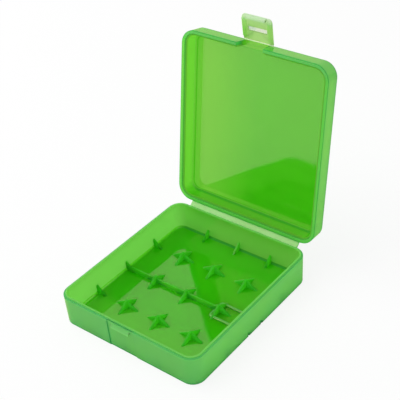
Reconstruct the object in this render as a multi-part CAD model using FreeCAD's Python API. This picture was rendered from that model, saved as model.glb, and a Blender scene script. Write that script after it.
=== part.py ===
import FreeCAD, Part
import math
import os

# Hinged battery case: a shallow tray and a lid, joined by a strap with two creases, and a snap flap
# on the lid. Lengths are in millimetres and angles in degrees. The origin is the centre of the
# tray's underside, X runs along the hinge, Y towards the hinge and Z up. The lid stands open.

# Cells that the case holds, lying along X in one row across Y
cell_diameter = 18.6
cell_count = 4
cell_length = 68.0
row_play = 2.0
end_play = 0.7
head_room = 0.8

# Tray
tray_height = 14.0
wall = 1.5
floor_thickness = 1.3
corner_radius = 6.0
tray_draft = 0.3
cavity_draft = 0.35
outer_fillet = 0.6
inner_fillet = 0.7
lip_height = 0.6
ledge_width = 0.75

# Lid
lid_overhang = 0.75
lid_plate = 1.2
lid_draft = 0.5
lid_cavity_draft = 0.2
parting_gap = 0.1
lip_side_gap = 0.12
lip_top_gap = 0.15
lid_open_angle = 99.0

# Four-armed posts that keep the cells apart, three rows of three
post_arm = 6.0
post_height = 3.4
post_base_thickness = 1.3
post_top_thickness = 1.0
post_top_length = 1.4
post_spacing_share = 0.25

# Centre rib, and the gussets where the walls meet the floor
rib_height = 2.3
rib_thickness = 0.9
gusset_height = 4.0
gusset_length = 5.0
gusset_thickness = 1.0

# Socket for a linking clip: a groove under the floor, with a raised curb above it
socket_half_width = 4.4
socket_inner_end = 15.4
groove_width = 1.0
groove_depth = 0.7
curb_width = 1.5
curb_height = 0.7
notch_height = 1.5
notch_depth = 0.8

# Hinge strap
strap_width = 58.4
strap_length = 2.8
strap_thickness = 0.7
hinge_offset = 1.3
crease_gap = 0.1
flange_root = 0.5

# Latch: flap, crease, window with its thin web, hook, catch and the recess and notch beside them
latch_offset = -1.65
flap_width = 14.8
flap_length = 11.2
flap_thickness = 0.8
flap_neck_thickness = 0.6
flap_neck_length = 0.5
flap_tip_radius = 1.6
flap_wall_gap = 0.15
flap_rest_tilt = 13.5
flap_crease_drop = 0.8
rail_width = 2.15
rail_height = 0.3
rail_start = 0.9
window_start = 3.9
window_length = 2.2
window_web = 0.25
window_margin = 0.45
hook_length = 1.2
hook_reach = 1.35
catch_offset = 0.15
catch_width = 9.4
catch_top_drop = 1.0
catch_bottom_drop = 2.8
catch_reach = 1.0
catch_nose = 0.3
recess_width = 14.0
recess_depth = 0.3
notch_rim_width = 13.2
notch_base_width = 11.6
notch_base_drop = 0.3
notch_corner_radius = 1.5

# One overrun serves all cuts, and edges this near a height count as lying at it
overrun = 1.0
same_height = 1e-6

# Sizes worked out from the ones above
cavity_depth = cell_count * cell_diameter + row_play
cavity_width = cell_length + end_play
tray_depth = cavity_depth + 2 * wall
tray_width = cavity_width + 2 * wall
rim_z = tray_height + parting_gap
lid_top_z = floor_thickness + cell_diameter + head_room + lid_plate
lid_depth = lid_top_z - rim_z
lid_inside_z = lid_top_z - lid_plate
lid_width = tray_width + 2 * lid_overhang
lid_length = tray_depth + 2 * lid_overhang
column_pitch = cavity_width * post_spacing_share
row_pitch = cavity_depth * post_spacing_share
half_open = math.radians(lid_open_angle / 2)
hinge_y = tray_depth / 2 + hinge_offset
hinge_mid_z = tray_height + parting_gap / 2
tray_crease = (hinge_y, hinge_mid_z - strap_length / 2)
lid_crease_closed = (hinge_y, hinge_mid_z + strap_length / 2)
lid_crease = (tray_crease[0] + strap_length * math.sin(half_open),
              tray_crease[1] + strap_length * math.cos(half_open))

X_AXIS = FreeCAD.Vector(1, 0, 0)


def point(x, y, z):
    return FreeCAD.Vector(x, y, z)


def rounded_wire(width, depth, radius, z):
    """Rounded rectangle about the Z axis: four straight sides joined by quarter circles."""
    a, b = width / 2, depth / 2
    k = radius * (1 - math.sqrt(0.5))
    edges = []
    for sx, sy, x_first in ((1, 1, False), (-1, 1, True), (-1, -1, False), (1, -1, True)):
        on_y_side = point(sx * (a - radius), sy * b, z)
        on_x_side = point(sx * a, sy * (b - radius), z)
        middle = point(sx * (a - k), sy * (b - k), z)
        first, last = (on_y_side, on_x_side) if x_first else (on_x_side, on_y_side)
        edges.append((first, middle, last))
    loop = []
    for i, (first, middle, last) in enumerate(edges):
        loop.append(Part.Arc(first, middle, last).toShape())
        loop.append(Part.LineSegment(last, edges[(i + 1) % len(edges)][0]).toShape())
    return Part.Wire(loop)


def drafted_block(width, depth, radius, z_wide, z_narrow, draft):
    """Block whose sides lean in by draft from the height z_wide to the height z_narrow."""
    wide = rounded_wire(width, depth, radius, z_wide)
    narrow = rounded_wire(width - 2 * draft, depth - 2 * draft, radius - draft, z_narrow)
    return Part.makeLoft([wide, narrow], True, True)


def round_edges_at(shape, z, radius):
    """Round every edge that lies in the level plane at height z."""
    level = [e for e in shape.Edges if all(abs(v.Z - z) < same_height for v in e.Vertexes)]
    return shape.makeFillet(radius, level)


def box_between(low, high):
    """Box from its lowest corner to its highest."""
    size = [h - l for l, h in zip(low, high)]
    return Part.makeBox(size[0], size[1], size[2], point(*low))


def prism(points, direction):
    """Flat polygon carried along a vector."""
    return Part.Face(Part.makePolygon(points + points[:1])).extrude(direction)


def solids_of(shape):
    """The shape's solids as one shape, with split faces joined up again."""
    solids = shape.removeSplitter().Solids
    return solids[0] if len(solids) == 1 else Part.makeCompound(solids)


def turned(shape, pivot, angle):
    """Copy turned about the X direction through a pivot given as (y, z)."""
    copy = shape.copy()
    copy.rotate(point(0, pivot[0], pivot[1]), X_AXIS, angle)
    return copy


def onto_lid(shape):
    """Carry a piece drawn on the closed lid to where the open lid holds it."""
    copy = turned(shape, lid_crease_closed, -lid_open_angle)
    copy.translate(point(0, lid_crease[0] - lid_crease_closed[0], lid_crease[1] - lid_crease_closed[1]))
    return copy


def front_face_y(z):
    """Y of the tray's sloping front face at height z."""
    return -tray_depth / 2 + tray_draft * (1 - z / tray_height)


def make_cavity():
    """Room inside the tray, from the floor up through the rim."""
    slope = cavity_draft / (tray_height - floor_thickness)
    top_z = tray_height + lip_height + overrun
    grown = 2 * slope * (top_z - tray_height)
    block = drafted_block(cavity_width + grown, cavity_depth + grown, corner_radius - wall + grown / 2,
                          top_z, floor_thickness, cavity_draft + grown / 2)
    return round_edges_at(block, floor_thickness, inner_fillet)


def make_groove():
    """U-shaped groove under the floor, with a notch where each leg meets the outer wall."""
    out_x = tray_width / 2 + overrun
    tool = box_between((socket_inner_end - groove_width / 2, -socket_half_width, -overrun),
                       (socket_inner_end + groove_width / 2, socket_half_width, groove_depth))
    for side in (-1, 1):
        y = side * socket_half_width
        leg = box_between((socket_inner_end - groove_width / 2, y - groove_width / 2, -overrun),
                          (out_x, y + groove_width / 2, groove_depth))
        notch = box_between((tray_width / 2 - tray_draft - notch_depth, y - groove_width / 2, -overrun),
                            (out_x, y + groove_width / 2, notch_height))
        tool = tool.fuse(leg).fuse(notch)
    return tool


def make_recess():
    """Shallow channel down the front wall behind the closed flap."""
    outside_y = -tray_depth / 2 - overrun
    low, high = -overrun, tray_height + overrun
    x = latch_offset + catch_offset - recess_width / 2
    profile = [point(x, outside_y, low), point(x, front_face_y(low) + recess_depth, low),
               point(x, front_face_y(high) + recess_depth, high), point(x, outside_y, high)]
    return prism(profile, point(recess_width, 0, 0))


def hinge_flange(from_y, crease):
    """Bar that stands out from a wall and stops just short of a crease."""
    half = strap_thickness / 2
    return box_between((-strap_width / 2, from_y - flange_root, crease[1] - half),
                       (strap_width / 2, crease[0] - half - crease_gap, crease[1] + half))


def make_tray(cavity):
    """Open tray with a sloping wall, a stepped rim and its half of the hinge."""
    body = drafted_block(tray_width, tray_depth, corner_radius, tray_height, 0, tray_draft)
    body = round_edges_at(body, 0, outer_fillet)
    lip = drafted_block(tray_width - 2 * ledge_width, tray_depth - 2 * ledge_width,
                        corner_radius - ledge_width, tray_height - overrun, tray_height + lip_height, 0)
    body = body.fuse(lip).fuse(hinge_flange(tray_depth / 2, tray_crease))
    return solids_of(body.cut(cavity).cut(make_recess()).cut(make_groove()))


def make_post(x, y):
    """Two crossed fins, long at the floor and short at the top."""
    fins = []
    for along_x in (True, False):
        levels = ((post_arm, post_base_thickness / 2, floor_thickness),
                  (post_top_length / 2, post_top_thickness / 2, floor_thickness + post_height))
        wires = []
        for reach, half, z in levels:
            a, b = (reach, half) if along_x else (half, reach)
            corners = [point(x + i * a, y + j * b, z) for i, j in ((1, 1), (-1, 1), (-1, -1), (1, -1))]
            wires.append(Part.makePolygon(corners + corners[:1]))
        fins.append(Part.makeLoft(wires, True, True))
    return solids_of(fins[0].fuse(fins[1]))


def make_gusset(wall_x, wall_y, inward_x, inward_y, cavity):
    """Triangular plate in the corner of wall and floor, its foot pointing inward."""
    half = gusset_thickness / 2
    side = point(inward_y, -inward_x, 0)
    corner = point(wall_x, wall_y, floor_thickness) - side * half
    inward = point(inward_x, inward_y, 0)
    outer = corner - inward * overrun
    rise = point(0, 0, gusset_height)
    profile = [outer, corner + inward * gusset_length, corner + rise, outer + rise]
    return solids_of(prism(profile, side * gusset_thickness).common(cavity))


def make_ribs(cavity, middle_posts):
    """Centre rib from the left wall to the last middle post, in the stretches between posts."""
    rib = box_between((-tray_width / 2, -rib_thickness / 2, floor_thickness),
                      (column_pitch, rib_thickness / 2, floor_thickness + rib_height)).common(cavity)
    for post in middle_posts:
        rib = rib.cut(post)
    stretches = sorted(rib.Solids, key=lambda s: s.CenterOfMass.x)
    names = ("rib_left", "rib_centre_left", "rib_centre_right")
    return {name: Part.makeCompound([stretch]).Solids[0] for name, stretch in zip(names, stretches)}


def make_curb(side, cavity, post):
    """Half of the raised U over the groove: a leg to the right wall and half of the cross leg."""
    half = curb_width / 2
    top_z = floor_thickness + curb_height
    y = side * socket_half_width
    leg = box_between((socket_inner_end - half, y - half, floor_thickness),
                      (tray_width / 2, y + half, top_z))
    cross_low, cross_high = (0, y) if side > 0 else (y, 0)
    cross_leg = box_between((socket_inner_end - half, cross_low, floor_thickness),
                            (socket_inner_end + half, cross_high, top_z))
    return solids_of(leg.fuse(cross_leg).common(cavity).cut(post))


def make_catch():
    """Wedge on the front wall: a long lead-in above and a flat hooking face below."""
    top_z = tray_height - catch_top_drop
    low_z = tray_height - catch_bottom_drop
    x = latch_offset + catch_offset - catch_width / 2
    low_y = front_face_y(low_z) + recess_depth
    top_y = front_face_y(top_z) + recess_depth
    profile = [point(x, low_y, low_z), point(x, low_y - catch_reach, low_z),
               point(x, low_y - catch_reach, low_z + catch_nose), point(x, top_y, top_z)]
    return prism(profile, point(catch_width, 0, 0))


def make_strap():
    """Stiff middle of the hinge: a bar with a round edge on each crease, drawn open."""
    half = strap_thickness / 2
    y, z = tray_crease
    bar = box_between((-strap_width / 2, y - half, z), (strap_width / 2, y + half, z + strap_length))
    for edge_z in (z, z + strap_length):
        bar = bar.fuse(Part.makeCylinder(half, strap_width, point(-strap_width / 2, y, edge_z), X_AXIS))
    return turned(solids_of(bar), tray_crease, -lid_open_angle / 2)


def flap_crease():
    """Where the flap turns, as (y, z) on the closed lid."""
    z = lid_top_z - flap_crease_drop
    wall_y = -lid_length / 2 + lid_draft * (z - rim_z) / lid_depth
    return (wall_y - flap_wall_gap - rail_height - flap_thickness / 2, z)


def make_lid():
    """Lid drawn closed: sloping wall, stepped rim, front notch, tongue and hinge flange."""
    body = drafted_block(lid_width, lid_length, corner_radius + lid_overhang, rim_z, lid_top_z, lid_draft)
    body = round_edges_at(body, lid_top_z, outer_fillet)
    slope = lid_cavity_draft / (lid_inside_z - rim_z)
    grown = 2 * slope * overrun
    hollow = drafted_block(cavity_width + grown, cavity_depth + grown, corner_radius - wall + grown / 2,
                           rim_z - overrun, lid_inside_z, lid_cavity_draft + grown / 2)
    hollow = round_edges_at(hollow, lid_inside_z, inner_fillet)
    step = 2 * (ledge_width - lip_side_gap)
    rebate = drafted_block(tray_width - step, tray_depth - step, corner_radius - step / 2,
                           rim_z - overrun, tray_height + lip_height + lip_top_gap, 0)
    flap_y, flap_z = flap_crease()
    half = flap_neck_thickness / 2
    tongue = box_between((latch_offset - flap_width / 2, flap_y + half + crease_gap, flap_z - half),
                         (latch_offset + flap_width / 2, -lid_length / 2 + wall, flap_z + half))
    flange = hinge_flange(lid_length / 2, lid_crease_closed)
    body = body.fuse(tongue).fuse(flange)
    return solids_of(body.cut(hollow).cut(rebate).cut(make_lid_notch()))


def make_lid_notch():
    """Cut through the lid's front wall behind the flap, narrower and rounded towards the plate."""
    y = -lid_length / 2 - overrun
    low_z, high_z = rim_z - overrun, lid_inside_z - notch_base_drop
    low, high = notch_rim_width / 2, notch_base_width / 2
    profile = [point(latch_offset - low, y, low_z), point(latch_offset + low, y, low_z),
               point(latch_offset + high, y, high_z), point(latch_offset - high, y, high_z)]
    tool = prism(profile, point(0, overrun + lid_overhang + wall + overrun, 0))
    corners = [e for e in tool.Edges if all(abs(v.Z - high_z) < same_height for v in e.Vertexes)
               and abs(e.Vertexes[0].Y - e.Vertexes[-1].Y) > same_height]
    return tool.makeFillet(notch_corner_radius, corners)


def make_flap_pieces():
    """Flap, its side rails and its hook, drawn straight out from the closed lid's edge."""
    y, z = flap_crease()
    half, neck = flap_thickness / 2, flap_neck_thickness / 2
    left, right = latch_offset - flap_width / 2, latch_offset + flap_width / 2
    tip_y = y - flap_length
    plate = box_between((left, tip_y, z - half), (right, y - flap_neck_length, z + half))
    tip_edges = [e for e in plate.Edges if abs(e.Vertexes[0].Z - e.Vertexes[-1].Z) > half
                 and abs(e.Vertexes[0].Y - tip_y) < half]
    plate = plate.makeFillet(flap_tip_radius, tip_edges)
    root = Part.makeCylinder(neck, flap_width, point(left, y, z), X_AXIS)
    strip = box_between((left, y - flap_neck_length - neck, z - neck), (right, y, z + neck))
    half_window = flap_width / 2 - rail_width - window_margin
    window = box_between((latch_offset - half_window, y - window_start - window_length, z - half - overrun),
                         (latch_offset + half_window, y - window_start, z + half - window_web))
    pieces = {"latch_flap": plate.fuse(root).fuse(strip).cut(window)}
    rail_end_y = tip_y + flap_tip_radius
    for name, low_x in (("latch_rail_left", left), ("latch_rail_right", right - rail_width)):
        pieces[name] = box_between((low_x, rail_end_y, z - half - rail_height),
                                   (low_x + rail_width, y - rail_start, z - half))
    hook_left = latch_offset + catch_offset - catch_width / 2
    pieces["latch_hook"] = box_between((hook_left, tip_y, z - half - hook_reach),
                                       (hook_left + catch_width, tip_y + hook_length, z - half))
    return {name: onto_lid(turned(solids_of(piece), (y, z), flap_rest_tilt))
            for name, piece in pieces.items()}


def build_nodes():
    """Every node of the case by name."""
    cavity = make_cavity()
    nodes = {"tray_shell": make_tray(cavity)}
    rows = (("back", row_pitch), ("middle", 0), ("front", -row_pitch))
    columns = (("left", -column_pitch), ("centre", 0), ("right", column_pitch))
    for row, y in rows:
        for column, x in columns:
            nodes["post_" + row + "_" + column] = make_post(x, y)
    for column, x in columns:
        nodes["gusset_back_" + column] = make_gusset(x, cavity_depth / 2, 0, -1, cavity)
        nodes["gusset_front_" + column] = make_gusset(x, -cavity_depth / 2, 0, 1, cavity)
    for row, y in rows:
        nodes["gusset_left_" + row] = make_gusset(-cavity_width / 2, y, 1, 0, cavity)
        if y:
            nodes["gusset_right_" + row] = make_gusset(cavity_width / 2, y, -1, 0, cavity)
    middle_posts = [nodes["post_middle_" + column] for column, x in columns]
    ribs = make_ribs(cavity, middle_posts + [nodes["gusset_left_middle"]])
    nodes.update(ribs)
    for name, side in (("socket_curb_back", 1), ("socket_curb_front", -1)):
        nodes[name] = make_curb(side, cavity, nodes["post_middle_right"])
    nodes["latch_catch"] = make_catch()
    nodes["hinge_strap"] = make_strap()
    nodes["lid_shell"] = onto_lid(make_lid())
    nodes.update(make_flap_pieces())
    return nodes


def report_places():
    """Print the sizes and axes that the record states."""
    y, z = flap_crease()
    turn = math.radians(lid_open_angle)
    dy, dz = y - lid_crease_closed[0], z - lid_crease_closed[1]
    flap_open = (lid_crease[0] + dy * math.cos(turn) + dz * math.sin(turn),
                 lid_crease[1] - dy * math.sin(turn) + dz * math.cos(turn))
    print("tray", round(tray_width, 3), round(tray_depth, 3), "lid", round(lid_width, 3),
          round(lid_length, 3), round(lid_depth, 3), "closed height", round(lid_top_z, 3))
    print("tray crease", [round(v, 4) for v in tray_crease])
    print("lid crease", [round(v, 4) for v in lid_crease])
    print("flap crease", [round(v, 4) for v in flap_open])
    wall_lean = math.degrees(math.atan(lid_draft / lid_depth))
    print("flap closing turn", round(90 - wall_lean - flap_rest_tilt, 3))


os.makedirs("parts", exist_ok=True)
for node_name, shape in build_nodes().items():
    valid = shape.isValid()
    shape.exportStep("parts/" + node_name + ".step")
    print(node_name, "solids", len(shape.Solids), "volume", round(shape.Volume, 3), "valid", valid)
report_places()
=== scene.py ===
import bmesh
import bpy
import math
import numpy as np
from mathutils import Matrix, Vector


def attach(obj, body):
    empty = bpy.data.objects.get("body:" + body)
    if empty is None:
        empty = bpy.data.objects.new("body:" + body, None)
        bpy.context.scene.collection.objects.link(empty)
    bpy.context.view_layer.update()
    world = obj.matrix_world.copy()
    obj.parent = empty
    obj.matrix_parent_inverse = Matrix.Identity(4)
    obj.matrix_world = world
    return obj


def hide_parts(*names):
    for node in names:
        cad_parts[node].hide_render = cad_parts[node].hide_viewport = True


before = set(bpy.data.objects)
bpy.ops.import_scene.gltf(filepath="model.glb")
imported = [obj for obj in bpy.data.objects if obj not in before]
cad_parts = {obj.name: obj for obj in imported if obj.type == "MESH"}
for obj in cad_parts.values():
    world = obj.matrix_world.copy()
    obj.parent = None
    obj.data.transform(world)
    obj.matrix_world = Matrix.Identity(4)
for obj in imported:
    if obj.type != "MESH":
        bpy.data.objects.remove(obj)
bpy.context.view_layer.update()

# Hinged battery case in translucent green plastic, standing open.
# Lengths are in millimetres until finishPiece. X runs along the hinge, Y towards it, Z up.
metresPerMm = 0.001
mergeWithin = 1e-4

# Centres of the corner arcs, which the tray and the lid share, and the levels that pieces meet at
case = dict(coreX=29.85, coreY=33.7, floorTop=1.3, rim=14.0, parting=14.1, lidInside=20.7,
            lidTop=21.9, cornerSteps=14, sideSteps=24)
hinge = dict(trayCrease=(41.0, 12.65), lidCreaseShut=(41.0, 15.45), openAngle=99.0,
             strapLength=2.8, halfWidth=29.2, halfThickness=0.35, creaseGap=0.1, root=0.5,
             flangeRound=0.25, strapRound=0.98, edge=0.2)
latch = dict(middle=-1.65, halfWidth=7.4, catchMiddle=-1.5)
# Radii of corners that look sharp, and of slightly softer ones
sharp, crisp = 0.02, 0.05


def arcPoints(centre, radius, fromDeg, toDeg, steps):
    # points on a circle: centre plus radius times cosine and sine of evenly spaced angles
    angle = np.radians(np.linspace(fromDeg, toDeg, steps + 1))
    return np.stack([centre[0] + radius * np.cos(angle), centre[1] + radius * np.sin(angle)], 1)


def smoothStep(t):
    # three t squared less two t cubed, held between 0 and 1
    t = np.clip(t, 0, 1)
    return t * t * (3 - 2 * t)


def turnAboutX(points, pivot, degrees):
    # plane rotation of (y, z) about the pivot
    c, s = math.cos(math.radians(degrees)), math.sin(math.radians(degrees))
    dy, dz = points[..., 1] - pivot[0], points[..., 2] - pivot[1]
    return np.stack([points[..., 0], pivot[0] + dy * c - dz * s, pivot[1] + dy * s + dz * c], -1)


def ontoLid(points):
    # from the shut lid to the open one: a turn about the shut crease, then a shift that takes that
    # crease to the far end of the strap, which leans by half the opening
    half = math.radians(hinge["openAngle"] / 2)
    shut, tray = hinge["lidCreaseShut"], hinge["trayCrease"]
    turned = turnAboutX(points, shut, -hinge["openAngle"])
    shift = (0, tray[0] + hinge["strapLength"] * math.sin(half) - shut[0],
             tray[1] + hinge["strapLength"] * math.cos(half) - shut[1])
    return turned + np.array(shift)


def withMiddles(values):
    # the grid's values one after the other, then the means of its first and last rows
    flat = values.reshape(-1, values.shape[-1])
    return np.concatenate([flat, values[:1].mean(1), values[-1:].mean(1)])


def closedMesh(name, grid, shade=None):
    # the grid's rows of points are closed round their columns, and the first and last rows are
    # closed by fans to their mean points; shade gives every point its shares of wall finish,
    # outer finish, painted shade and painted highlight
    rows, columns = grid.shape[:2]
    index = np.arange(rows * columns).reshape(rows, columns)
    after = np.roll(index, -1, axis=1)
    quads = np.stack([index[:-1], after[:-1], after[1:], index[1:]], -1).reshape(-1, 4)
    firstMiddle, lastMiddle = (np.full(columns, rows * columns + k) for k in range(2))
    firstFan = np.stack([after[0], index[0], firstMiddle], -1)
    lastFan = np.stack([index[-1], after[-1], lastMiddle], -1)
    mesh = bpy.data.meshes.new(name)
    mesh.from_pydata(withMiddles(grid), [], quads.tolist() + firstFan.tolist() + lastFan.tolist())
    if shade is not None:
        filled = withMiddles(shade)
        # a mesh with no shade reads 1 in the fourth place, so the painted highlight is kept there as
        # its rest
        filled[:, 3] = 1 - filled[:, 3]
        layer = mesh.attributes.new("shade", "FLOAT_COLOR", "POINT")
        layer.data.foreach_set("color", filled.ravel())
    work = bmesh.new()
    work.from_mesh(mesh)
    bmesh.ops.remove_doubles(work, verts=work.verts, dist=mergeWithin)
    bmesh.ops.recalc_face_normals(work, faces=work.faces)
    work.to_mesh(mesh)
    work.free()
    piece = bpy.data.objects.new(name, mesh)
    bpy.context.scene.collection.objects.link(piece)
    return piece


def cutWith(piece, tools, flatWithin=None):
    # what the tools hold is taken off; faces that lie flat within so many degrees are then joined
    for tool in tools:
        step = piece.modifiers.new("cut", "BOOLEAN")
        step.object, step.operation, step.solver = tool, "DIFFERENCE", "MANIFOLD"
    bpy.context.view_layer.update()
    cut = piece.evaluated_get(bpy.context.evaluated_depsgraph_get())
    baked = bpy.data.meshes.new_from_object(cut)
    piece.modifiers.clear()
    piece.data = baked
    if flatWithin:
        work = bmesh.new()
        work.from_mesh(baked)
        bmesh.ops.dissolve_limit(work, verts=work.verts, edges=work.edges,
                                 angle_limit=math.radians(flatWithin))
        work.to_mesh(baked)
        work.free()
    for tool in tools:
        bpy.data.objects.remove(tool)


def movePoints(piece, move):
    # every point of the piece's mesh goes where move takes it
    points = np.empty(len(piece.data.vertices) * 3)
    piece.data.vertices.foreach_get("co", points)
    piece.data.vertices.foreach_set("co", move(points.reshape(-1, 3)).ravel())


def finishPiece(piece, body, nodes, material):
    # metres, and smooth faces whose normals lean to the larger face, then body, nodes and finish
    movePoints(piece, lambda points: points * metresPerMm)
    piece.data.polygons.foreach_set("use_smooth", np.ones(len(piece.data.polygons), bool))
    piece.data.materials.clear()
    piece.data.materials.append(material)
    even = piece.modifiers.new("even shading", "WEIGHTED_NORMAL")
    even.mode, even.weight, even.keep_sharp = "FACE_AREA", 50, False
    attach(piece, body)
    if nodes:
        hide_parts(*nodes)


# The shader's own words: a Socket stands for one output, and arithmetic on it adds Math nodes
class Socket:
    def __init__(self, finish, output):
        self.finish, self.output = finish, output

    def math(self, operation, *values):
        return self.finish.add("ShaderNodeMath", dict(operation=operation), dict(enumerate(values)))

    def __add__(self, other):
        return self.math("ADD", self, other)

    def __radd__(self, other):
        return self.math("ADD", other, self)

    def __sub__(self, other):
        return self.math("SUBTRACT", self, other)

    def __rsub__(self, other):
        return self.math("SUBTRACT", other, self)

    def __mul__(self, other):
        return self.math("MULTIPLY", self, other)

    def __rmul__(self, other):
        return self.math("MULTIPLY", other, self)


class Finish:
    def __init__(self, owner):
        # the owner is a material or a world
        self.owner = owner
        owner.use_nodes = True
        self.tree = owner.node_tree
        self.tree.nodes.clear()

    def add(self, kind, settings=None, sockets=None, output=0):
        # settings go first, because they change which sockets a node has
        node = self.tree.nodes.new(kind)
        for key, value in (settings or {}).items():
            setattr(node, key, value)
        for key, value in (sockets or {}).items():
            if isinstance(value, Socket):
                self.tree.links.new(value.output, node.inputs[key])
            else:
                node.inputs[key].default_value = value
        return Socket(self, node.outputs[output]) if node.outputs else None

    def between(self, value, low, high):
        # 0 at low and 1 at high, with a smooth rise
        return self.add("ShaderNodeMapRange", dict(interpolation_type="SMOOTHSTEP", clamp=True),
                        {"Value": value, "From Min": low, "From Max": high})

    def blend(self, share, first, second):
        # colour mix: first where share is 0, second where it is 1
        return self.add("ShaderNodeMix", dict(data_type="RGBA"), {0: share, 6: first, 7: second}, 2)

    def mixed(self, share, first, second):
        # shader mix: first where share is 0, second where it is 1
        return self.add("ShaderNodeMixShader", None, {0: share, 1: first, 2: second})

    def noise(self, place, scale, detail, stretch=(1, 1, 1)):
        # soft random noise of the place times the stretch
        place = self.add("ShaderNodeVectorMath", dict(operation="MULTIPLY"), {0: place, 1: stretch})
        return self.add("ShaderNodeTexNoise", dict(noise_dimensions="3D"),
                        {"Vector": place, "Scale": scale, "Detail": detail, "Roughness": 0.5})


# Moulded plastic is a thin skin that sends some light back, lets some through, and shines on its
# outer side only. Its walls let more colours through than its floors do, and this paleness is in
# part painted light. The mesh's shade says where the walls and outer faces are, and where shade
# and highlights are painted along edges.
skin = dict(cloudScale=55, cloudFrom=0.35, cloudTo=0.7, cloudOnOuter=0.3,
            streakScale=900, streakStretch=(1, 0.12, 0.4), streakFrom=0.55, streakTo=0.8,
            rippleScale=42, rippleDepth=0.0004, grainScale=2600, grainDepth=0.00005,
            bodyRough=0.6, darkStops=0.7, lightStops=0.3, shineTint=(1, 0.97, 0.55),
            wallDulls=0.3, dullFrom=0.6)
# dark and light are the colours of painted shade and painted highlights
trayLook = dict(back=(0.05, 0.48, 0.003), paler=(0.065, 0.53, 0.004), wallBack=(0.21, 0.57, 0.05),
                outer=(0.065, 0.5, 0.27), dark=(0.02, 0.2, 0.06), light=(0.34, 0.85, 0.32),
                through=(0.27, 0.88, 0.01), pale=(0.55, 0.94, 0.30), cool=(0.46, 0.93, 0.38),
                share=0.75, rough=0.05, scratch=0.12, wave=0.35, grain=0.06, gloss=1.75)
# the lid is the tray's plastic with its colours retuned as painted light and shade: a deeper body and
# paler walls
lidLook = dict(trayLook, back=(0.03, 0.43, 0.003), paler=(0.045, 0.49, 0.005),
               wallBack=(0.27, 0.61, 0.03), outer=(0.04, 0.48, 0.17), light=(0.36, 0.84, 0.13),
               through=(0.22, 0.85, 0.01), pale=(0.70, 0.99, 0.20), cool=(0.32, 0.92, 0.30), gloss=2.0)
postLook = dict(trayLook, back=(0.04, 0.43, 0.04), paler=(0.05, 0.49, 0.05),
                through=(0.30, 0.95, 0.10), share=0.72, rough=0.5, wave=0.1, gloss=1.25)
finLook = dict(trayLook, back=(0.06, 0.49, 0.04), paler=(0.08, 0.55, 0.05),
               through=(0.34, 0.97, 0.12), wave=0.1, gloss=1.35)
# the flap turns to its light colour towards the tip, a painted highlight
flapLook = dict(trayLook, back=(0.36, 0.76, 0.22), paler=(0.42, 0.81, 0.28),
                through=(0.76, 0.98, 0.52), light=(0.88, 0.96, 0.86), wave=0.15, gloss=1.7,
                lightFrom=0.1015, lightTo=0.1052)
webLook = dict(trayLook, back=(0.93, 0.98, 0.92), paler=(0.95, 0.99, 0.94),
               through=(0.99, 1, 0.98), share=0.5, wave=0.05, gloss=2.6)
# the catch is a paler copy of the posts' plastic, painted light on it
catchLook = dict(postLook, back=(0.26, 0.72, 0.3), paler=(0.3, 0.76, 0.34),
                 through=(0.5, 0.95, 0.4), gloss=1.6)
strapLook = dict(trayLook, back=(0.23, 0.62, 0.2), paler=(0.36, 0.71, 0.36),
                 through=(0.52, 0.93, 0.46), share=0.6, rough=0.12, wave=0.1)


def mouldedPlastic(name, look):
    # a look may give two heights, in metres, between which the plastic turns to its light colour as
    # a painted highlight
    s, finish = skin, Finish(bpy.data.materials.new(name))
    place = finish.add("ShaderNodeTexCoord", output=3)
    shade = finish.add("ShaderNodeAttribute", dict(attribute_name="shade"))
    wall, outer, dark = (finish.add("ShaderNodeSeparateColor", None, {0: shade}, channel)
                         for channel in range(3))
    light = 1 - finish.add("ShaderNodeAttribute", dict(attribute_name="shade"), output=3)
    # the painted highlight towards the flap's tip
    if "lightFrom" in look:
        height = finish.add("ShaderNodeSeparateXYZ", None, {0: place}, 2)
        tip = finish.between(height, look["lightFrom"], look["lightTo"])
        light = light.math("MAXIMUM", light, tip)
    cloud = finish.between(finish.noise(place, s["cloudScale"], 2), s["cloudFrom"], s["cloudTo"])
    streak = finish.between(finish.noise(place, s["streakScale"], 3, s["streakStretch"]),
                            s["streakFrom"], s["streakTo"])
    tint = finish.blend(cloud, (*look["back"], 1), (*look["paler"], 1))
    outerTint = outer * (1 - s["cloudOnOuter"] * cloud)
    # over the cloudy body go the wall and outer tones, then painted shade and painted highlights
    for share, key in ((wall, "wallBack"), (outerTint, "outer"), (dark, "dark"), (light, "light")):
        tint = finish.blend(share, tint, (*look[key], 1))
    waved = finish.add("ShaderNodeBump", None,
                       {"Strength": look["wave"], "Distance": s["rippleDepth"],
                        "Height": finish.noise(place, s["rippleScale"], 1)})
    normal = finish.add("ShaderNodeBump", None,
                        {"Strength": look["grain"], "Distance": s["grainDepth"],
                         "Height": finish.noise(place, s["grainScale"], 2), "Normal": waved})
    body = finish.add("ShaderNodeBsdfPrincipled", None,
                      {"Base Color": tint, "Roughness": s["bodyRough"], "Specular IOR Level": 0.0,
                       "Normal": normal})
    deep, pale, cool = (finish.add("ShaderNodeBsdfTranslucent", None,
                                   {"Color": (*look[key], 1), "Normal": normal})
                        for key in ("through", "pale", "cool"))
    through = finish.mixed(outer, finish.mixed(wall, deep, pale), cool)
    # where shade and highlights are painted, less light goes through
    share = look["share"] * (1 - s["darkStops"] * dark) * (1 - s["lightStops"] * light)
    shine = finish.add("ShaderNodeBsdfAnisotropic", None,
                       {"Color": (*s["shineTint"], 1), "Normal": normal,
                        "Roughness": look["rough"] + look["scratch"] * streak})
    edge = finish.add("ShaderNodeFresnel", None, {"IOR": look["gloss"], "Normal": normal})
    outside = 1 - finish.add("ShaderNodeNewGeometry", output=6)
    # and where they are painted, the shine is taken off
    clear = 1 - finish.between(dark.math("MAXIMUM", dark, light), 0, s["dullFrom"])
    shown = edge * outside * clear * (1 - s["wallDulls"] * wall)
    whole = finish.mixed(shown, finish.mixed(share, body, through), shine)
    finish.add("ShaderNodeOutputMaterial", None, {"Surface": whole})
    return finish.owner


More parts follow.
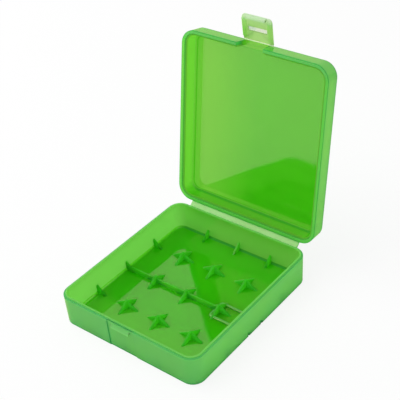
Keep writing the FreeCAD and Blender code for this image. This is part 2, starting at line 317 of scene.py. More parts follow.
trayPlastic = mouldedPlastic("trayPlastic", trayLook)
lidPlastic = mouldedPlastic("lidPlastic", lidLook)
postPlastic = mouldedPlastic("postPlastic", postLook)
finPlastic = mouldedPlastic("finPlastic", finLook)
flapPlastic = mouldedPlastic("flapPlastic", flapLook)
webPlastic = mouldedPlastic("webPlastic", webLook)
catchPlastic = mouldedPlastic("catchPlastic", catchLook)
strapPlastic = mouldedPlastic("strapPlastic", strapLook)
print("finishes are ready")


def frontPlaces(middle, half, reach, count):
    # X of the front side's columns: even ones, and finer ones about both ends of a feature
    even = np.linspace(-case["coreX"], case["coreX"], case["sideSteps"] + 1)
    ends = middle + half * np.array([[-1], [1]]) + np.linspace(-reach, reach, count)
    return np.unique(np.concatenate([even, ends.ravel()]))


def caseLoop(frontX):
    # once round the case, anticlockwise from above: core points and outward directions, so that
    # any outline of the case is core plus radius times direction
    cx, cy = case["coreX"], case["coreY"]
    along = np.linspace(-1, 1, case["sideSteps"] + 1)
    sides = [(np.stack([frontX, np.full(len(frontX), -cy)], 1), -90),
             (np.stack([np.full(len(along), cx), along * cy], 1), 0),
             (np.stack([-along * cx, np.full(len(along), cy)], 1), 90),
             (np.stack([np.full(len(along), -cx), -along * cy], 1), 180)]
    core, turn = [], []
    for points, degrees in sides:
        corner = np.linspace(degrees, degrees + 90, case["cornerSteps"] + 1)[1:-1]
        core += [points, np.repeat(points[-1:], len(corner), 0)]
        turn += [np.full(len(points), degrees), corner]
    angle = np.radians(np.concatenate(turn))
    return np.concatenate(core), np.stack([np.cos(angle), np.sin(angle)], 1)


def facing(direction):
    # how far each column faces the front, the back, the left and the right
    x, y = direction[:, 0], direction[:, 1]
    return smoothStep(np.stack([-y, y, -x, x]))[:, None]


def sweepRound(loop, profile):
    # profile rows are (radius, height); every row is the loop at that radius and height
    core, direction = loop
    flat = core[None] + profile[:, 0][:, None, None] * direction[None]
    height = np.broadcast_to(profile[:, 1][:, None, None], flat.shape[:2] + (1,))
    return np.concatenate([flat, height], 2)


def tone(wall, outer, dark=0, light=0):
    # a row's shares of wall finish, outer finish, painted shade (dark) and painted highlight (light)
    return wall, outer, dark, light


def shadedRows(parts):
    # each part is a name, (radius, height) rows and their tone; the last result gives the numbers
    # of each part's rows by its name
    rows = np.concatenate([np.array(points, float) for _, points, _ in parts])
    counts = [len(points) for _, points, _ in parts]
    shade = np.repeat(np.array([shares for _, _, shares in parts], float), counts, 0)
    at = {part[0]: np.arange(end - count, end)
          for part, count, end in zip(parts, counts, np.cumsum(counts))}
    return rows, shade, at


def closeInward(ring):
    # rings that shrink towards the Z axis, the first of them close to the edge
    share = np.array([0.985, 0.95, 0.9, 0.82, 0.7, 0.55, 0.4, 0.2])
    inner = ring[None] * share[:, None, None]
    inner[..., 2] = ring[None, :, 2]
    return inner


def closedShell(name, grid, shade, floorTone, place=lambda points: points):
    # both ends of the section are closed inwards; floorTone gives the shares of wall finish and of
    # painted highlight over the inside, and place takes the points to the open pose
    first, last = closeInward(grid[0])[::-1], closeInward(grid[-1])
    floorShade = np.repeat(shade[-1:], len(last), 0)
    floorShade[..., 0], floorShade[..., 3] = floorTone(last)
    shade = np.concatenate([np.repeat(shade[:1], len(first), 0), shade, floorShade])
    return closedMesh(name, place(np.concatenate([first, grid, last])), shade)


# Points of a shell's section are (radius beyond the corner centres, height). The section runs from
# under the floor up the outside, over the rim and down the inside.
tray = dict(bottomR=5.7, outerR=6.0, lipOuterR=5.25, lipInnerR=4.517, lipTop=14.6,
            footRound=0.6, edgeRound=0.15, floorRound=0.7, roundSteps=6, edgeSteps=4,
            wallRows=6, insideRows=5, underside=(4.612, 0), footMiddle=(5.112, 0.6),
            wallFoot=(5.725, 1.2), wallHead=(5.985, 12.9), band=[(5.992, 13.4), (5.994, 13.7)],
            ledge=(5.7, 14.0), riser=[(5.35, 14.0), (5.28, 14.02), (5.25, 14.09)],
            insideHead=(4.497, 13.8), insideFoot=(4.18, 2.5), filletMiddle=(3.47, 2.0),
            floorRim=(2.95, 1.3), recessHalf=7.0, recessDepth=0.3, recessEdge=0.12, stepColumns=9)
# Painted shade on the recess's two steps and some edges, and where the floor pales towards the front
trayShade = dict(leftStep=0.8, rightStep=0.15, stepHalf=0.35, rightOuter=0.1, backFillet=0.35,
                 leftRim=0.6, paleShare=0.7, paleFrom=-17, paleOver=6)


def buildTray():
    t, s, edge, edgeSteps = tray, trayShade, tray["edgeRound"], tray["edgeSteps"]
    # the tones paint shade along the foot, the rim, the ledge, the riser and the fillet, and highlights
    # along the band and the lip
    profile, shade, at = shadedRows([
        ("underside", [t["underside"]], tone(1, 1)),
        ("foot", arcPoints(t["footMiddle"], t["footRound"], -90, 0, t["roundSteps"]),
         tone(1, 1, dark=0.7)),
        ("wall", np.linspace(t["wallFoot"], t["wallHead"], t["wallRows"]), tone(1, 1)),
        ("band", t["band"], tone(1, 1, light=0.5)),
        ("rim", arcPoints((t["outerR"] - edge, case["rim"] - edge), edge, 0, 90, edgeSteps),
         tone(1, 1, dark=0.35)),
        ("ledge", [t["ledge"]], tone(1, 1, dark=0.35)),
        ("riser", t["riser"], tone(1, 1, dark=0.4)),
        ("lipOutside", arcPoints((t["lipOuterR"] - edge, t["lipTop"] - edge), edge, 0, 90, edgeSteps),
         tone(1, 0.5, light=0.3)),
        ("lipInside", arcPoints((t["lipInnerR"] + edge, t["lipTop"] - edge), edge, 90, 180, edgeSteps),
         tone(1, 0, light=0.6)),
        ("inside", np.linspace(t["insideHead"], t["insideFoot"], t["insideRows"]), tone(1, 0)),
        ("fillet", arcPoints(t["filletMiddle"], t["floorRound"], 0, -90, t["roundSteps"]),
         tone(0.2, 0, dark=0.35)),
        ("floor", [t["floorRim"]], tone(0, 0))])
    core, direction = caseLoop(frontPlaces(latch["catchMiddle"], t["recessHalf"],
                                           2 * t["recessEdge"], t["stepColumns"]))
    grid = sweepRound((core, direction), profile)
    # each row's share of the recess: all of it on the outer wall, none on the lip and inside
    outer = smoothStep((profile[:, 0] - t["footMiddle"][0]) / t["footRound"])
    outer[at["ledge"][0]:] = 0
    fromStep = t["recessHalf"] - np.abs(grid[..., 0] - latch["catchMiddle"])
    inRecess = smoothStep(fromStep / t["recessEdge"] + 0.5)
    atFrontWall = (grid[..., 1] < -case["coreY"]) * outer[:, None]
    grid[..., 1] += t["recessDepth"] * inRecess * atFrontWall
    shade = np.repeat(shade[:, None], grid.shape[1], 1)
    # painted shade along the recess's two steps, deep at the left one and faint at the right
    atStep = 1 - smoothStep(np.abs(fromStep) / s["stepHalf"])
    atStep = atStep * np.where(grid[..., 0] < latch["catchMiddle"], s["leftStep"], s["rightStep"])
    shade[..., 2] = np.maximum(shade[..., 2], atStep * atFrontWall)
    # painted shade outside at the right, in the fillet at the back and along the rim at the left,
    # where the foot and the fillet are plain
    _, atBack, atLeft, atRight = facing(direction)
    shade[:at["ledge"][0], :, 2] += s["rightOuter"] * atRight
    shade[np.concatenate([at["foot"], at["fillet"]]), :, 2] *= 1 - atLeft
    shade[at["fillet"][:-1], :, 2] += s["backFillet"] * atBack
    shade[at["rim"], :, 2] += s["leftRim"] * atLeft

    def nearFront(points):
        # the floor is paler towards the front wall
        return s["paleShare"] * smoothStep((s["paleFrom"] - points[..., 1]) / s["paleOver"]), 0

    return closedShell("trayShell", grid, shade, nearFront)


lid = dict(topR=6.25, rimR=6.75, rebateR=5.37, rebateTop=14.75, wallR=4.48, insideR=4.3,
           plateRound=0.6, edgeRound=0.14, insideRound=0.7, roundSteps=6, edgeSteps=4,
           wallRows=5, insideRows=4, plateOutside=(5.188, 21.9), plateMiddle=(5.688, 21.3),
           wallHead=(6.308, 20.9), wallFoot=(6.72, 14.9), band=(6.738, 14.6), parting=(6.35, 14.1),
           step=[(5.37, 14.67), (5.34, 14.73), (5.27, 14.75)], insideFoot=(4.46, 15.6),
           insideHead=(4.33, 19.4), bendMiddle=(3.62, 20.0), plateRim=(3.1, 20.7),
           notchBase=20.4, notchHalf=6.1, notchSlope=0.7, slopeColumns=19)
# Shares of painted shade and painted highlights at some edges, and how the plate goes from pale at
# the left, as painted light, to deep
lidShade = dict(frontParting=0.15, leftParting=0.6, bendDark=0.55, bendLight=0.5, backInside=0.75,
                notchWall=0.5, notchEnd=0.8, deepShare=0.9, deepFrom=4, deepOver=34,
                stripLight=0.6, stripFrom=3, stripOver=2.5)


def buildLid():
    t, s, edge, edgeSteps = lid, lidShade, lid["edgeRound"], lid["edgeSteps"]
    partingZ, insideZ = case["parting"], case["lidInside"]
    # the tones paint shade along the plate's edge, the rim, the step and the seat, and highlights along
    # the band, the parting face and the rebate
    profile, shade, at = shadedRows([
        ("plateOutside", [t["plateOutside"]], tone(1, 1)),
        ("plateEdge", arcPoints(t["plateMiddle"], t["plateRound"], 90, 0, t["roundSteps"]),
         tone(1, 1, dark=0.6)),
        ("wall", np.linspace(t["wallHead"], t["wallFoot"], t["wallRows"]), tone(1, 1)),
        ("band", [t["band"]], tone(1, 1, light=0.2)),
        ("rim", arcPoints((t["rimR"] - edge, partingZ + edge), edge, 0, -90, edgeSteps),
         tone(1, 1, dark=0.5)),
        ("parting", [t["parting"]], tone(1, 1, light=0.6)),
        ("rebate", arcPoints((t["rebateR"] + edge, partingZ + edge), edge, -90, -180, edgeSteps),
         tone(1, 1, light=0.6)),
        ("step", t["step"], tone(1, 0.5, dark=0.7)),
        ("seat", arcPoints((t["wallR"] + edge, t["rebateTop"] + edge), edge, -90, -180, edgeSteps),
         tone(1, 0, dark=0.6)),
        ("inside", np.linspace(t["insideFoot"], t["insideHead"], t["insideRows"]), tone(1, 0)),
        ("bend", arcPoints(t["bendMiddle"], t["insideRound"], 0, 90, t["roundSteps"]), tone(0.9, 0)),
        ("plate", [t["plateRim"]], tone(0, 0))])
    core, direction = caseLoop(frontPlaces(latch["middle"], t["notchHalf"],
                                           t["notchSlope"], t["slopeColumns"]))
    grid = sweepRound((core, direction), profile)
    # the notch presses the front wall's rows up: outside towards the plate's edge round, and inside
    # towards its inner face
    fromMiddle = np.abs(grid[..., 0] - latch["middle"])
    lift = 1 - smoothStep((fromMiddle - t["notchHalf"]) / t["notchSlope"] / 2 + 0.5)
    lift = lift * (grid[..., 1] < -case["coreY"])
    row = np.arange(len(profile))[:, None]
    anchor = np.where(row <= at["rim"][-1], t["plateMiddle"][1], insideZ)
    rimHeight = partingZ + lift * (t["notchBase"] - partingZ)
    pressed = anchor - (anchor - grid[..., 2]) * (anchor - rimHeight) / (anchor - partingZ)
    pressed = np.where(grid[..., 2] < anchor, pressed, grid[..., 2])
    # a pressed row keeps to the wall's lean, which differs outside and inside
    outerLean = (t["rimR"] - t["topR"]) / (case["lidTop"] - partingZ)
    innerLean = (t["wallR"] - t["insideR"]) / (insideZ - partingZ)
    lean = np.where(row <= at["step"][-1], outerLean, innerLean)
    grid[..., 1] += lean * (pressed - grid[..., 2])
    grid[..., 2] = pressed
    shade = np.repeat(shade[:, None], grid.shape[1], 1)
    # painted shade on the parting face along the front, where its painted highlight goes, and a
    # stronger painted highlight along the left
    atFront, atBack, atLeft, atRight = facing(direction)
    parting = slice(at["band"][0], at["step"][0] + 1)
    shade[parting, :, 2] = np.maximum(shade[parting, :, 2], s["frontParting"] * atFront)
    shade[parting, :, 3] *= (1 - atFront) * (1 + s["leftParting"] * atLeft)
    # painted shade in the bend into the plate at the back and the right, and a painted highlight at
    # the left
    shade[at["bend"], :, 2] = s["bendDark"] * np.maximum(atBack, atRight)
    shade[at["bend"], :, 3] = s["bendLight"] * atLeft
    # no painted shade on the plate's edge round at the left
    shade[at["plateEdge"], :, 2] *= 1 - atLeft
    # painted shade: the inside wall takes less of the pale wall finish at the back
    innerWall = slice(at["inside"][0], at["bend"][-1])
    shade[innerWall, :, 0] *= 1 - s["backInside"] * atBack
    # the wall pressed into the notch is plain, with painted shade at its ends
    below = (profile[:, 1] < t["notchBase"])[:, None]
    end = np.clip(1 - np.abs(lift - 0.5) * 2, 0, 1)
    shade = np.where((below & (lift > 0.5))[..., None], tone(s["notchWall"], 0), shade)
    shade[..., 2] = np.where(below, np.maximum(shade[..., 2], s["notchEnd"] * end), shade[..., 2])

    def nearLeft(points):
        # painted light: the plate is as pale as the left wall beside it, with a painted highlight in a
        # strip next to it, and deeper further off
        away = points[..., 0] + case["coreX"] + t["insideR"]
        deep = smoothStep((away - s["deepFrom"]) / s["deepOver"])
        strip = 1 - smoothStep((away - s["stripFrom"]) / s["stripOver"])
        return 1 - s["deepShare"] * deep, s["stripLight"] * strip

    return closedShell("lidShell", grid, shade, nearLeft, ontoLid)


def rectangle(fromX, toX, fromY, toY):
    # four corners, anticlockwise
    return [(fromX, fromY), (toX, fromY), (toX, toY), (fromX, toY)]


def roundedOutline(corners, radius, steps=4):
    # convex outline: each corner gives way to an arc of the radius that touches both its sides
    corners = np.array(corners, float)
    radius = np.broadcast_to(np.asarray(radius, float), len(corners))
    before, after = np.roll(corners, 1, 0) - corners, np.roll(corners, -1, 0) - corners
    before /= np.linalg.norm(before, axis=1)[:, None]
    after /= np.linalg.norm(after, axis=1)[:, None]
    half = np.arccos(np.clip((before * after).sum(1), -1, 1)) / 2
    inward = before + after
    inward /= np.linalg.norm(inward, axis=1)[:, None]
    centre = corners + inward * (radius / np.sin(half))[:, None]
    spread = np.linspace(-1, 1, steps + 1)[None] * (math.pi / 2 - half)[:, None]
    base = np.arctan2(-inward[:, 1], -inward[:, 0])[:, None]
    clockwise = np.sign(before[:, 0] * after[:, 1] - before[:, 1] * after[:, 0])[:, None]
    angle = base - spread * clockwise
    direction = np.stack([np.cos(angle), np.sin(angle)], -1)
    points = centre[:, None] + radius[:, None, None] * direction
    return points.reshape(-1, 2), direction.reshape(-1, 2)


def atLevels(flat, level):
    # a height for every row of flat points
    return np.concatenate([flat, np.broadcast_to(level[:, None, None], flat.shape[:2] + (1,))], 2)


def softPlate(corners, radius, low, high, edge, steps=4, flatShare=1.3):
    # the rounded outline carried from low to high, with a quarter round of the edge radius at both
    # ends, where the inset is the edge less the edge times the sine or cosine of the turn; one more
    # ring, inset by the flat share of the edge, keeps each end flat
    outline, direction = roundedOutline(corners, radius)
    turn = np.radians(np.linspace(0, 90, steps + 1))
    flatInset = [edge * flatShare]
    inset = np.concatenate([flatInset, edge * (1 - np.sin(turn)), edge * (1 - np.cos(turn)), flatInset])
    level = np.concatenate([[low], low + edge * (1 - np.cos(turn)),
                            high - edge + edge * np.sin(turn), [high]])
    return atLevels(outline[None] - inset[:, None, None] * direction[None], level)


def alongX(grid):
    # (y, z) outline carried along X
    return grid[..., [2, 0, 1]]


def alongY(grid):
    # (x, z) outline carried along Y
    return grid[..., [0, 2, 1]]


post = dict(pitchX=17.175, pitchY=19.1, height=3.4, reach=6.0, topReach=0.7, halfBase=0.65,
            halfTop=0.5, crest=0.28, crestTurn=80, sink=0.12, slimmest=0.62, hollowShare=0.4,
            hollowLeast=0.01, hollowMost=0.35, levels=13, crestLevels=6, tipPoints=6,
            sidePoints=7, hollowPoints=4)


def postGrid(x, y):
    # a plus-shaped outline at each level: four round-ended arms joined by hollow corners, which
    # draw in and thin out as they rise; the last levels close in a quarter round
    p = post
    rise = np.concatenate([[-p["sink"] / p["height"]], np.linspace(0, 1, p["levels"])])
    turn = np.radians(np.linspace(0, p["crestTurn"], p["crestLevels"]))[1:]
    crestInset = p["crest"] * (1 - np.cos(turn))
    above = np.clip(rise, 0, 1)
    reach = np.concatenate([p["reach"] + (p["topReach"] - p["reach"]) * above,
                            p["topReach"] - crestInset])
    half = np.concatenate([p["halfBase"] + (p["halfTop"] - p["halfBase"]) * above,
                           p["halfTop"] - crestInset])
    level = np.concatenate([rise * (p["height"] - p["crest"]),
                            p["height"] - p["crest"] + p["crest"] * np.sin(turn)])
    half = np.minimum(half, reach * p["slimmest"])[:, None]
    reach = reach[:, None]
    hollow = np.clip((reach - 2 * half) * p["hollowShare"], p["hollowLeast"], p["hollowMost"])
    tip = np.radians(np.linspace(0, 90, p["tipPoints"]))
    bend = np.radians(np.linspace(270, 225, p["hollowPoints"]))
    middle = np.maximum(reach - half, half + hollow)
    share = np.linspace(0, 1, p["sidePoints"])[1:-1]
    upper = np.concatenate([
        np.stack([middle + half * np.cos(tip), half * np.sin(tip)], -1),
        np.stack([middle + (half + hollow - middle) * share, half + 0 * share], -1),
        (half + hollow)[..., None] + hollow[..., None] * np.stack([np.cos(bend), np.sin(bend)], -1)], 1)
    lower = upper[:, ::-1][:, :, [1, 0]][:, 1:]
    arms = [np.concatenate([upper, lower], 1)[:, :-1]]
    for _ in range(3):
        arms.append(np.stack([-arms[-1][..., 1], arms[-1][..., 0]], -1))
    return atLevels(np.concatenate(arms, 1) + np.array((x, y)), level + case["floorTop"])


gusset = dict(wallX=34.35, wallY=38.2, height=4.0, length=5.0, topLength=0.25, half=0.5,
              edge=0.2, tip=0.3, sink=0.6, rootDepth=0.15, toeDepth=0.02)


def gussetGrid(outX, outY, offset):
    # triangle with its upright side in the wall and its foot on the floor
    g, floor = gusset, case["floorTop"]
    wall = g["wallX"] if outX else g["wallY"]
    corners = [(wall + g["sink"], floor - g["rootDepth"]), (wall + g["sink"], floor + g["height"]),
               (wall - g["topLength"], floor + g["height"]),
               (wall - g["length"], floor - g["toeDepth"]),
               (wall - g["length"], floor - g["rootDepth"])]
    radii = (crisp, crisp, g["tip"], sharp, sharp)
    grid = softPlate(corners, radii, -g["half"], g["half"], g["edge"])
    out, side, up = grid[..., 0], grid[..., 2] + offset, grid[..., 1]
    return np.stack([out * outX + side * abs(outY), out * outY + side * abs(outX), up], -1)


rib = dict(half=0.45, height=2.3, edge=0.2, sink=0.15, leftEnd=-34.9, gap=0.3)


def ribGrid(fromX, toX):
    # rounded bar along X, with a gap to the post at each end
    box = rectangle(fromX + rib["gap"], toX - rib["gap"],
                    case["floorTop"] - rib["sink"], case["floorTop"] + rib["height"])
    return alongY(softPlate(box, crisp, -rib["half"], rib["half"], rib["edge"]))


curb = dict(half=0.75, height=0.7, inner=15.4, halfSpan=4.4, corner=1.0, outer=34.6, sink=0.12,
            legPoint=25.0, crossPoint=1.6, cornerSteps=8, sectionSteps=10)
# The curb has a painted highlight near its crest and painted shade near its feet: 0 is the crest
# and 1 a foot
curbShade = dict(wall=0.3, light=0.7, lightTo=0.3, dark=0.8, darkFrom=0.7)


def curbGrid(side):
    # a low half-round section carried from the wall, round one corner, to the middle of the U
    c = curb
    bend = arcPoints((c["inner"] + c["corner"], side * (c["halfSpan"] - c["corner"])), c["corner"],
                     side * 90, side * 180, c["cornerSteps"])
    leg = [(c["outer"], side * c["halfSpan"]), (c["legPoint"], side * c["halfSpan"])]
    path = np.concatenate([leg, bend, [(c["inner"], side * c["crossPoint"]), (c["inner"], 0)]])
    step = np.gradient(path, axis=0)
    across = np.stack([-step[:, 1], step[:, 0]], 1) / np.linalg.norm(step, axis=1)[:, None]
    feet = [(-c["half"], -c["sink"]), (c["half"], -c["sink"])]
    top = arcPoints((0, 0), 1.0, 0, 180, c["sectionSteps"]) * (c["half"], c["height"])
    section = np.concatenate([top, feet])
    flat = path[:, None] + section[None, :, 0, None] * across[:, None]
    level = np.broadcast_to(section[None, :, 1, None] + case["floorTop"], flat.shape[:2] + (1,))
    return np.concatenate([flat, level], 2)


def curbTones(grid):
    # shares by how far each column of the section is from the crest
    s, crest = curbShade, curb["sectionSteps"] / 2
    fromCrest = np.abs(np.arange(grid.shape[1]) - crest) / crest
    shade = np.zeros(grid.shape[:2] + (4,))
    shade[..., 0] = s["wall"]
    shade[..., 2] = s["dark"] * (fromCrest > s["darkFrom"])
    shade[..., 3] = s["light"] * (fromCrest < s["lightTo"])
    return shade


print("shells")
trayShell = buildTray()
groove = dict(half=0.5, depth=0.7, notchDepth=0.8, notchHeight=1.5, outer=37.0, below=-1.0,
              corner=0.1, edge=0.15)


def grooveTool(name, box, corner, height):
    # soft-edged block from under the tray up to the height
    return closedMesh(name, softPlate(box, corner, groove["below"], height, groove["edge"]))


innerX, crossX = curb["inner"] - groove["half"], curb["inner"] + groove["half"]
notchX = tray["bottomR"] + case["coreX"] - groove["notchDepth"]
grooveTools = []
for side in (-1, 1):
    legY = (side * curb["halfSpan"] - groove["half"], side * curb["halfSpan"] + groove["half"])
    grooveTools.append(grooveTool("grooveLeg", rectangle(innerX, groove["outer"], *legY),
                                  groove["corner"], groove["depth"]))
    grooveTools.append(grooveTool("grooveNotch", rectangle(notchX, groove["outer"], *legY),
                                  groove["corner"], groove["notchHeight"]))
crossBox = rectangle(innerX, crossX, -curb["halfSpan"], curb["halfSpan"])
grooveTools.append(grooveTool("grooveCross", crossBox, crisp, groove["depth"]))
cutWith(trayShell, grooveTools)
finishPiece(trayShell, "tray", ["tray_shell"], trayPlastic)
finishPiece(buildLid(), "lid", ["lid_shell"], lidPlastic)

print("posts, gussets, ribs and curb")


def traySolid(node, grid, material, shade=None):
    # a rounded piece that takes the place of one of the tray's nodes
    piece = closedMesh(node + "_round", grid, shade)
    finishPiece(piece, "tray", [node], material)


rows = dict(back=1, middle=0, front=-1)
columns = dict(left=-1, centre=0, right=1)
for row, j in rows.items():
    for column, i in columns.items():
        grid = postGrid(i * post["pitchX"], j * post["pitchY"])
        traySolid(f"post_{row}_{column}", grid, postPlastic)
for column, i in columns.items():
    for wall, outY in (("back", 1), ("front", -1)):
        traySolid(f"gusset_{wall}_{column}", gussetGrid(0, outY, i * post["pitchX"]), finPlastic)
for row, j in rows.items():
    for wall, outX in (("left", -1), ("right", 1)):
        if wall == "left" or j:
            traySolid(f"gusset_{wall}_{row}", gussetGrid(outX, 0, j * post["pitchY"]), finPlastic)
traySolid("rib_left", ribGrid(rib["leftEnd"], -post["pitchX"]), finPlastic)
traySolid("rib_centre_left", ribGrid(-post["pitchX"], 0), finPlastic)
traySolid("rib_centre_right", ribGrid(0, post["pitchX"]), finPlastic)
for name, side in (("socket_curb_back", 1), ("socket_curb_front", -1)):
    grid = curbGrid(side)
    traySolid(name, grid, trayPlastic, curbTones(grid))

print("latch")
catch = dict(halfWidth=4.7, topDrop=1.0, bottomDrop=2.8, reach=1.0, nose=0.3, sink=0.4,
             noseRound=0.1, edge=0.12)
frontSlope = (tray["outerR"] - tray["bottomR"]) / case["rim"]
topZ, lowZ = case["rim"] - catch["topDrop"], case["rim"] - catch["bottomDrop"]
# the recess's face at the catch's top and bottom
topY, lowY = (-case["coreY"] - tray["outerR"] + frontSlope * (case["rim"] - z) + tray["recessDepth"]
              for z in (topZ, lowZ))
corners = [(lowY + catch["sink"], lowZ), (lowY + catch["sink"], topZ), (topY, topZ),
           (lowY - catch["reach"], lowZ + catch["nose"]), (lowY - catch["reach"], lowZ)]
catchX = (latch["catchMiddle"] - catch["halfWidth"], latch["catchMiddle"] + catch["halfWidth"])
radii = (sharp, sharp, sharp, catch["noseRound"], catch["noseRound"])
grid = alongX(softPlate(corners, radii, *catchX, catch["edge"]))
finishPiece(closedMesh("latchCatch", grid), "tray", ["latch_catch"], catchPlastic)

flap = dict(creaseDrop=0.8, wallGap=0.15, half=0.4, neckHalf=0.3, length=11.2, tipRadius=1.6,
            restTilt=13.5, plateEdge=0.2, sink=0.1, softEdge=0.1, bluntEdge=0.15,
            railHeight=0.3, railWidth=2.15, railStart=0.9, railRound=0.3,
            windowMargin=0.45, windowStart=3.9, windowLength=2.2, windowRound=0.25,
            windowCut=2, webThickness=0.25, webInset=0.05, rootLength=1, hookLength=1.2,
            hookReach=1.35, hookRadii=(0.2, 0.1, 0.05, 0.05), tongueRoot=1.0, tongueRound=0.25)
creaseZ = case["lidTop"] - flap["creaseDrop"]
wallLean = (lid["rimR"] - lid["topR"]) / (case["lidTop"] - case["parting"])
lidWallY = -case["coreY"] - lid["rimR"] + wallLean * (creaseZ - case["parting"])
creaseY = lidWallY - flap["wallGap"] - flap["railHeight"] - flap["half"]
leftX, rightX = latch["middle"] - latch["halfWidth"], latch["middle"] + latch["halfWidth"]
tipY = creaseY - flap["length"]
# upper and under face of the flap's plate, as it lies before it is tilted
plateTop, plateUnder = creaseZ + flap["half"], creaseZ - flap["half"]


def ontoFlap(points):
    # from the flap lying flat before the shut lid to its tilt on the open lid
    return ontoLid(turnAboutX(points, (creaseY, creaseZ), flap["restTilt"]))


plateGrid = softPlate(rectangle(leftX, rightX, tipY, creaseY + flap["neckHalf"]),
                      (flap["tipRadius"], flap["tipRadius"], crisp, crisp),
                      -flap["half"], flap["half"], flap["plateEdge"])
# the plate is thinner at its root, next to the crease
atRoot = plateGrid[..., 1] > creaseY - flap["rootLength"]
plateGrid[..., 2] *= np.where(atRoot, flap["neckHalf"] / flap["half"], 1)
plateGrid[..., 2] += creaseZ
piece = closedMesh("latchFlap", plateGrid)
windowHalf = latch["halfWidth"] - flap["railWidth"] - flap["windowMargin"]
windowNear = creaseY - flap["windowStart"]
windowBox = rectangle(latch["middle"] - windowHalf, latch["middle"] + windowHalf,
                      windowNear - flap["windowLength"], windowNear)
windowGrid = softPlate(windowBox, flap["windowRound"], creaseZ - flap["windowCut"],
                       creaseZ + flap["windowCut"], flap["softEdge"])
cutWith(piece, [closedMesh("windowCut", windowGrid)], flatWithin=0.5)
movePoints(piece, ontoFlap)
finishPiece(piece, "flap", ["latch_flap"], flapPlastic)
web = softPlate(windowBox, flap["windowRound"], plateTop - flap["webThickness"],
                plateTop - flap["webInset"], crisp)
finishPiece(closedMesh("windowWeb", ontoFlap(web)), "flap", [], webPlastic)
for name, lowX in (("latch_rail_left", leftX), ("latch_rail_right", rightX - flap["railWidth"])):
    railBox = rectangle(lowX, lowX + flap["railWidth"],
                        tipY + flap["tipRadius"], creaseY - flap["railStart"])
    grid = softPlate(railBox, flap["railRound"], plateUnder - flap["railHeight"],
                     plateUnder + flap["sink"], flap["softEdge"])
    piece = closedMesh(name + "_round", ontoFlap(grid))
    finishPiece(piece, "flap", [name], flapPlastic)
hookBox = rectangle(tipY, tipY + flap["hookLength"],
                    plateUnder - flap["hookReach"], plateUnder + flap["sink"])
grid = ontoFlap(alongX(softPlate(hookBox, flap["hookRadii"], *catchX, flap["bluntEdge"])))
finishPiece(closedMesh("latchHook", grid), "flap", ["latch_hook"], flapPlastic)
tongueBox = rectangle(creaseY + flap["neckHalf"] + hinge["creaseGap"],
                      lidWallY + flap["tongueRoot"],
                      creaseZ - flap["neckHalf"], creaseZ + flap["neckHalf"])
radii = (flap["tongueRound"], sharp, sharp, flap["tongueRound"])
grid = ontoLid(alongX(softPlate(tongueBox, radii, leftX, rightX, flap["bluntEdge"])))
finishPiece(closedMesh("flapTongue", grid), "lid", [], webPlastic)

print("hinge")
half = hinge["halfThickness"]


def hingeGrid(box, radii):
    # (y, z) box with rounded corners, along the whole hinge
    return alongX(softPlate(box, radii, -hinge["halfWidth"], hinge["halfWidth"], hinge["edge"]))


def flangeGrid(wallY, crease):
    # half of the hinge: a leaf from the wall to just short of the crease
    box = rectangle(wallY - hinge["root"], crease[0] - half - hinge["creaseGap"],
                    crease[1] - half, crease[1] + half)
    return hingeGrid(box, (sharp, hinge["flangeRound"], hinge["flangeRound"], sharp))


grid = flangeGrid(case["coreY"] + tray["outerR"], hinge["trayCrease"])
finishPiece(closedMesh("trayFlange", grid), "tray", [], strapPlastic)
grid = ontoLid(flangeGrid(case["coreY"] + lid["rimR"], hinge["lidCreaseShut"]))
finishPiece(closedMesh("lidFlange", grid), "lid", [], strapPlastic)
strapY, strapZ = hinge["trayCrease"]
strapBox = rectangle(strapY - half, strapY + half,
                     strapZ - half, strapZ + hinge["strapLength"] + half)
grid = turnAboutX(hingeGrid(strapBox, half * hinge["strapRound"]),
                  hinge["trayCrease"], -hinge["openAngle"] / 2)
piece = closedMesh("hingeStrap", grid)
finishPiece(piece, "hinge_web", ["hinge_strap"], strapPlastic)

print("floor, light and camera")
# These lengths are in metres. The paper lies just under the tray, so that their faces do not meet.
studio = dict(paperHalf=3, paperDrop=0.0001, shadowLift=0.85, air=0.55, aimHeight=0.03, distance=1.1,
              panelTowards=(-0.5, -0.3, 0.85), panelSize=1.2, panelStrength=1.8,
              sideTowards=(-1, -0.1, 0.3), sideSize=0.8, sideStrength=0.6)
floorMesh = bpy.data.meshes.new("floor")
paperCorners = rectangle(-studio["paperHalf"], studio["paperHalf"],
                         -studio["paperHalf"], studio["paperHalf"])
floorMesh.from_pydata([(x, y, -studio["paperDrop"]) for x, y in paperCorners], [], [(0, 1, 2, 3)])
floor = bpy.data.objects.new("floor", floorMesh)
bpy.context.scene.collection.objects.link(floor)
# The paper is shaded where it lights the case, and lifted towards plain white where it is seen
paper = Finish(bpy.data.materials.new("paper"))
sheet = paper.add("ShaderNodeBsdfDiffuse", None, {"Color": (0.97, 0.97, 0.97, 1)})
plain = paper.add("ShaderNodeEmission", None, {"Color": (1, 1, 1, 1), "Strength": 1.0})
seen = paper.add("ShaderNodeLightPath", output=0)
lifted = paper.mixed(seen * studio["shadowLift"], sheet, plain)
paper.add("ShaderNodeOutputMaterial", None, {"Surface": lifted})
floorMesh.materials.append(paper.owner)

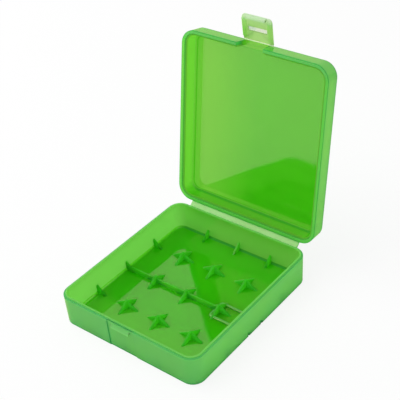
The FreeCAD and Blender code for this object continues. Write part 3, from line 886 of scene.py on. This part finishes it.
# The surroundings are white to look at and in gloss, and lower as a light
air = Finish(bpy.data.worlds.new("studio"))
bpy.context.scene.world = air.owner
seen, glossy = air.add("ShaderNodeLightPath", output=0), air.add("ShaderNodeLightPath", output=3)
airLevel = studio["air"] + (1 - studio["air"]) * seen.math("MAXIMUM", seen, glossy)
glow = air.add("ShaderNodeBackground", None, {"Color": (1, 1, 1, 1), "Strength": airLevel})
air.add("ShaderNodeOutputWorld", None, {"Surface": glow})


def addPanel(name, towards, size, strength):
    # square soft light along a direction from the case, facing the middle of it
    lamp = bpy.data.lights.new(name, "AREA")
    lamp.size, lamp.energy = size, strength * math.pi * size ** 2
    panel = bpy.data.objects.new(name, lamp)
    bpy.context.scene.collection.objects.link(panel)
    away = Vector(towards).normalized()
    panel.location = away * studio["distance"] + Vector((0, 0, studio["aimHeight"]))
    panel.rotation_euler = away.to_track_quat("Z", "Y").to_euler()


addPanel("overhead panel", studio["panelTowards"], studio["panelSize"], studio["panelStrength"])
addPanel("side panel", studio["sideTowards"], studio["sideSize"], studio["sideStrength"])

# Angles are in degrees, and clipStart is in metres
view = dict(focalPixels=953.84, framePixels=400, azimuth=40.52, elevation=35.31, roll=-4.90,
            distance=369.02, targetX=11.84, targetZ=56.23, sensor=36.0, clipStart=0.01)


def placeCamera():
    # the camera's back axis comes from azimuth and elevation, and roll turns the other two about it
    a, e, r = (math.radians(view[k]) for k in ("azimuth", "elevation", "roll"))
    back = np.array([math.sin(a) * math.cos(e), -math.cos(a) * math.cos(e), math.sin(e)])
    level = np.array([math.cos(a), math.sin(a), 0])
    upright = np.cross(back, level)
    right = math.cos(r) * level + math.sin(r) * upright
    up = math.cos(r) * upright - math.sin(r) * level
    at = np.array([view["targetX"], 0, view["targetZ"]]) + back * view["distance"]
    lens = bpy.data.cameras.new("camera")
    lens.sensor_width, lens.clip_start = view["sensor"], view["clipStart"]
    lens.lens = view["focalPixels"] / view["framePixels"] * view["sensor"]
    camera = bpy.data.objects.new("camera", lens)
    bpy.context.scene.collection.objects.link(camera)
    pose = np.eye(4)
    pose[:3] = np.stack([right, up, back, at * metresPerMm], 1)
    camera.matrix_world = Matrix(pose.tolist())
    bpy.context.scene.camera = camera


placeCamera()
bpy.context.scene.view_settings.view_transform = "Standard"

bpy.context.view_layer.update()
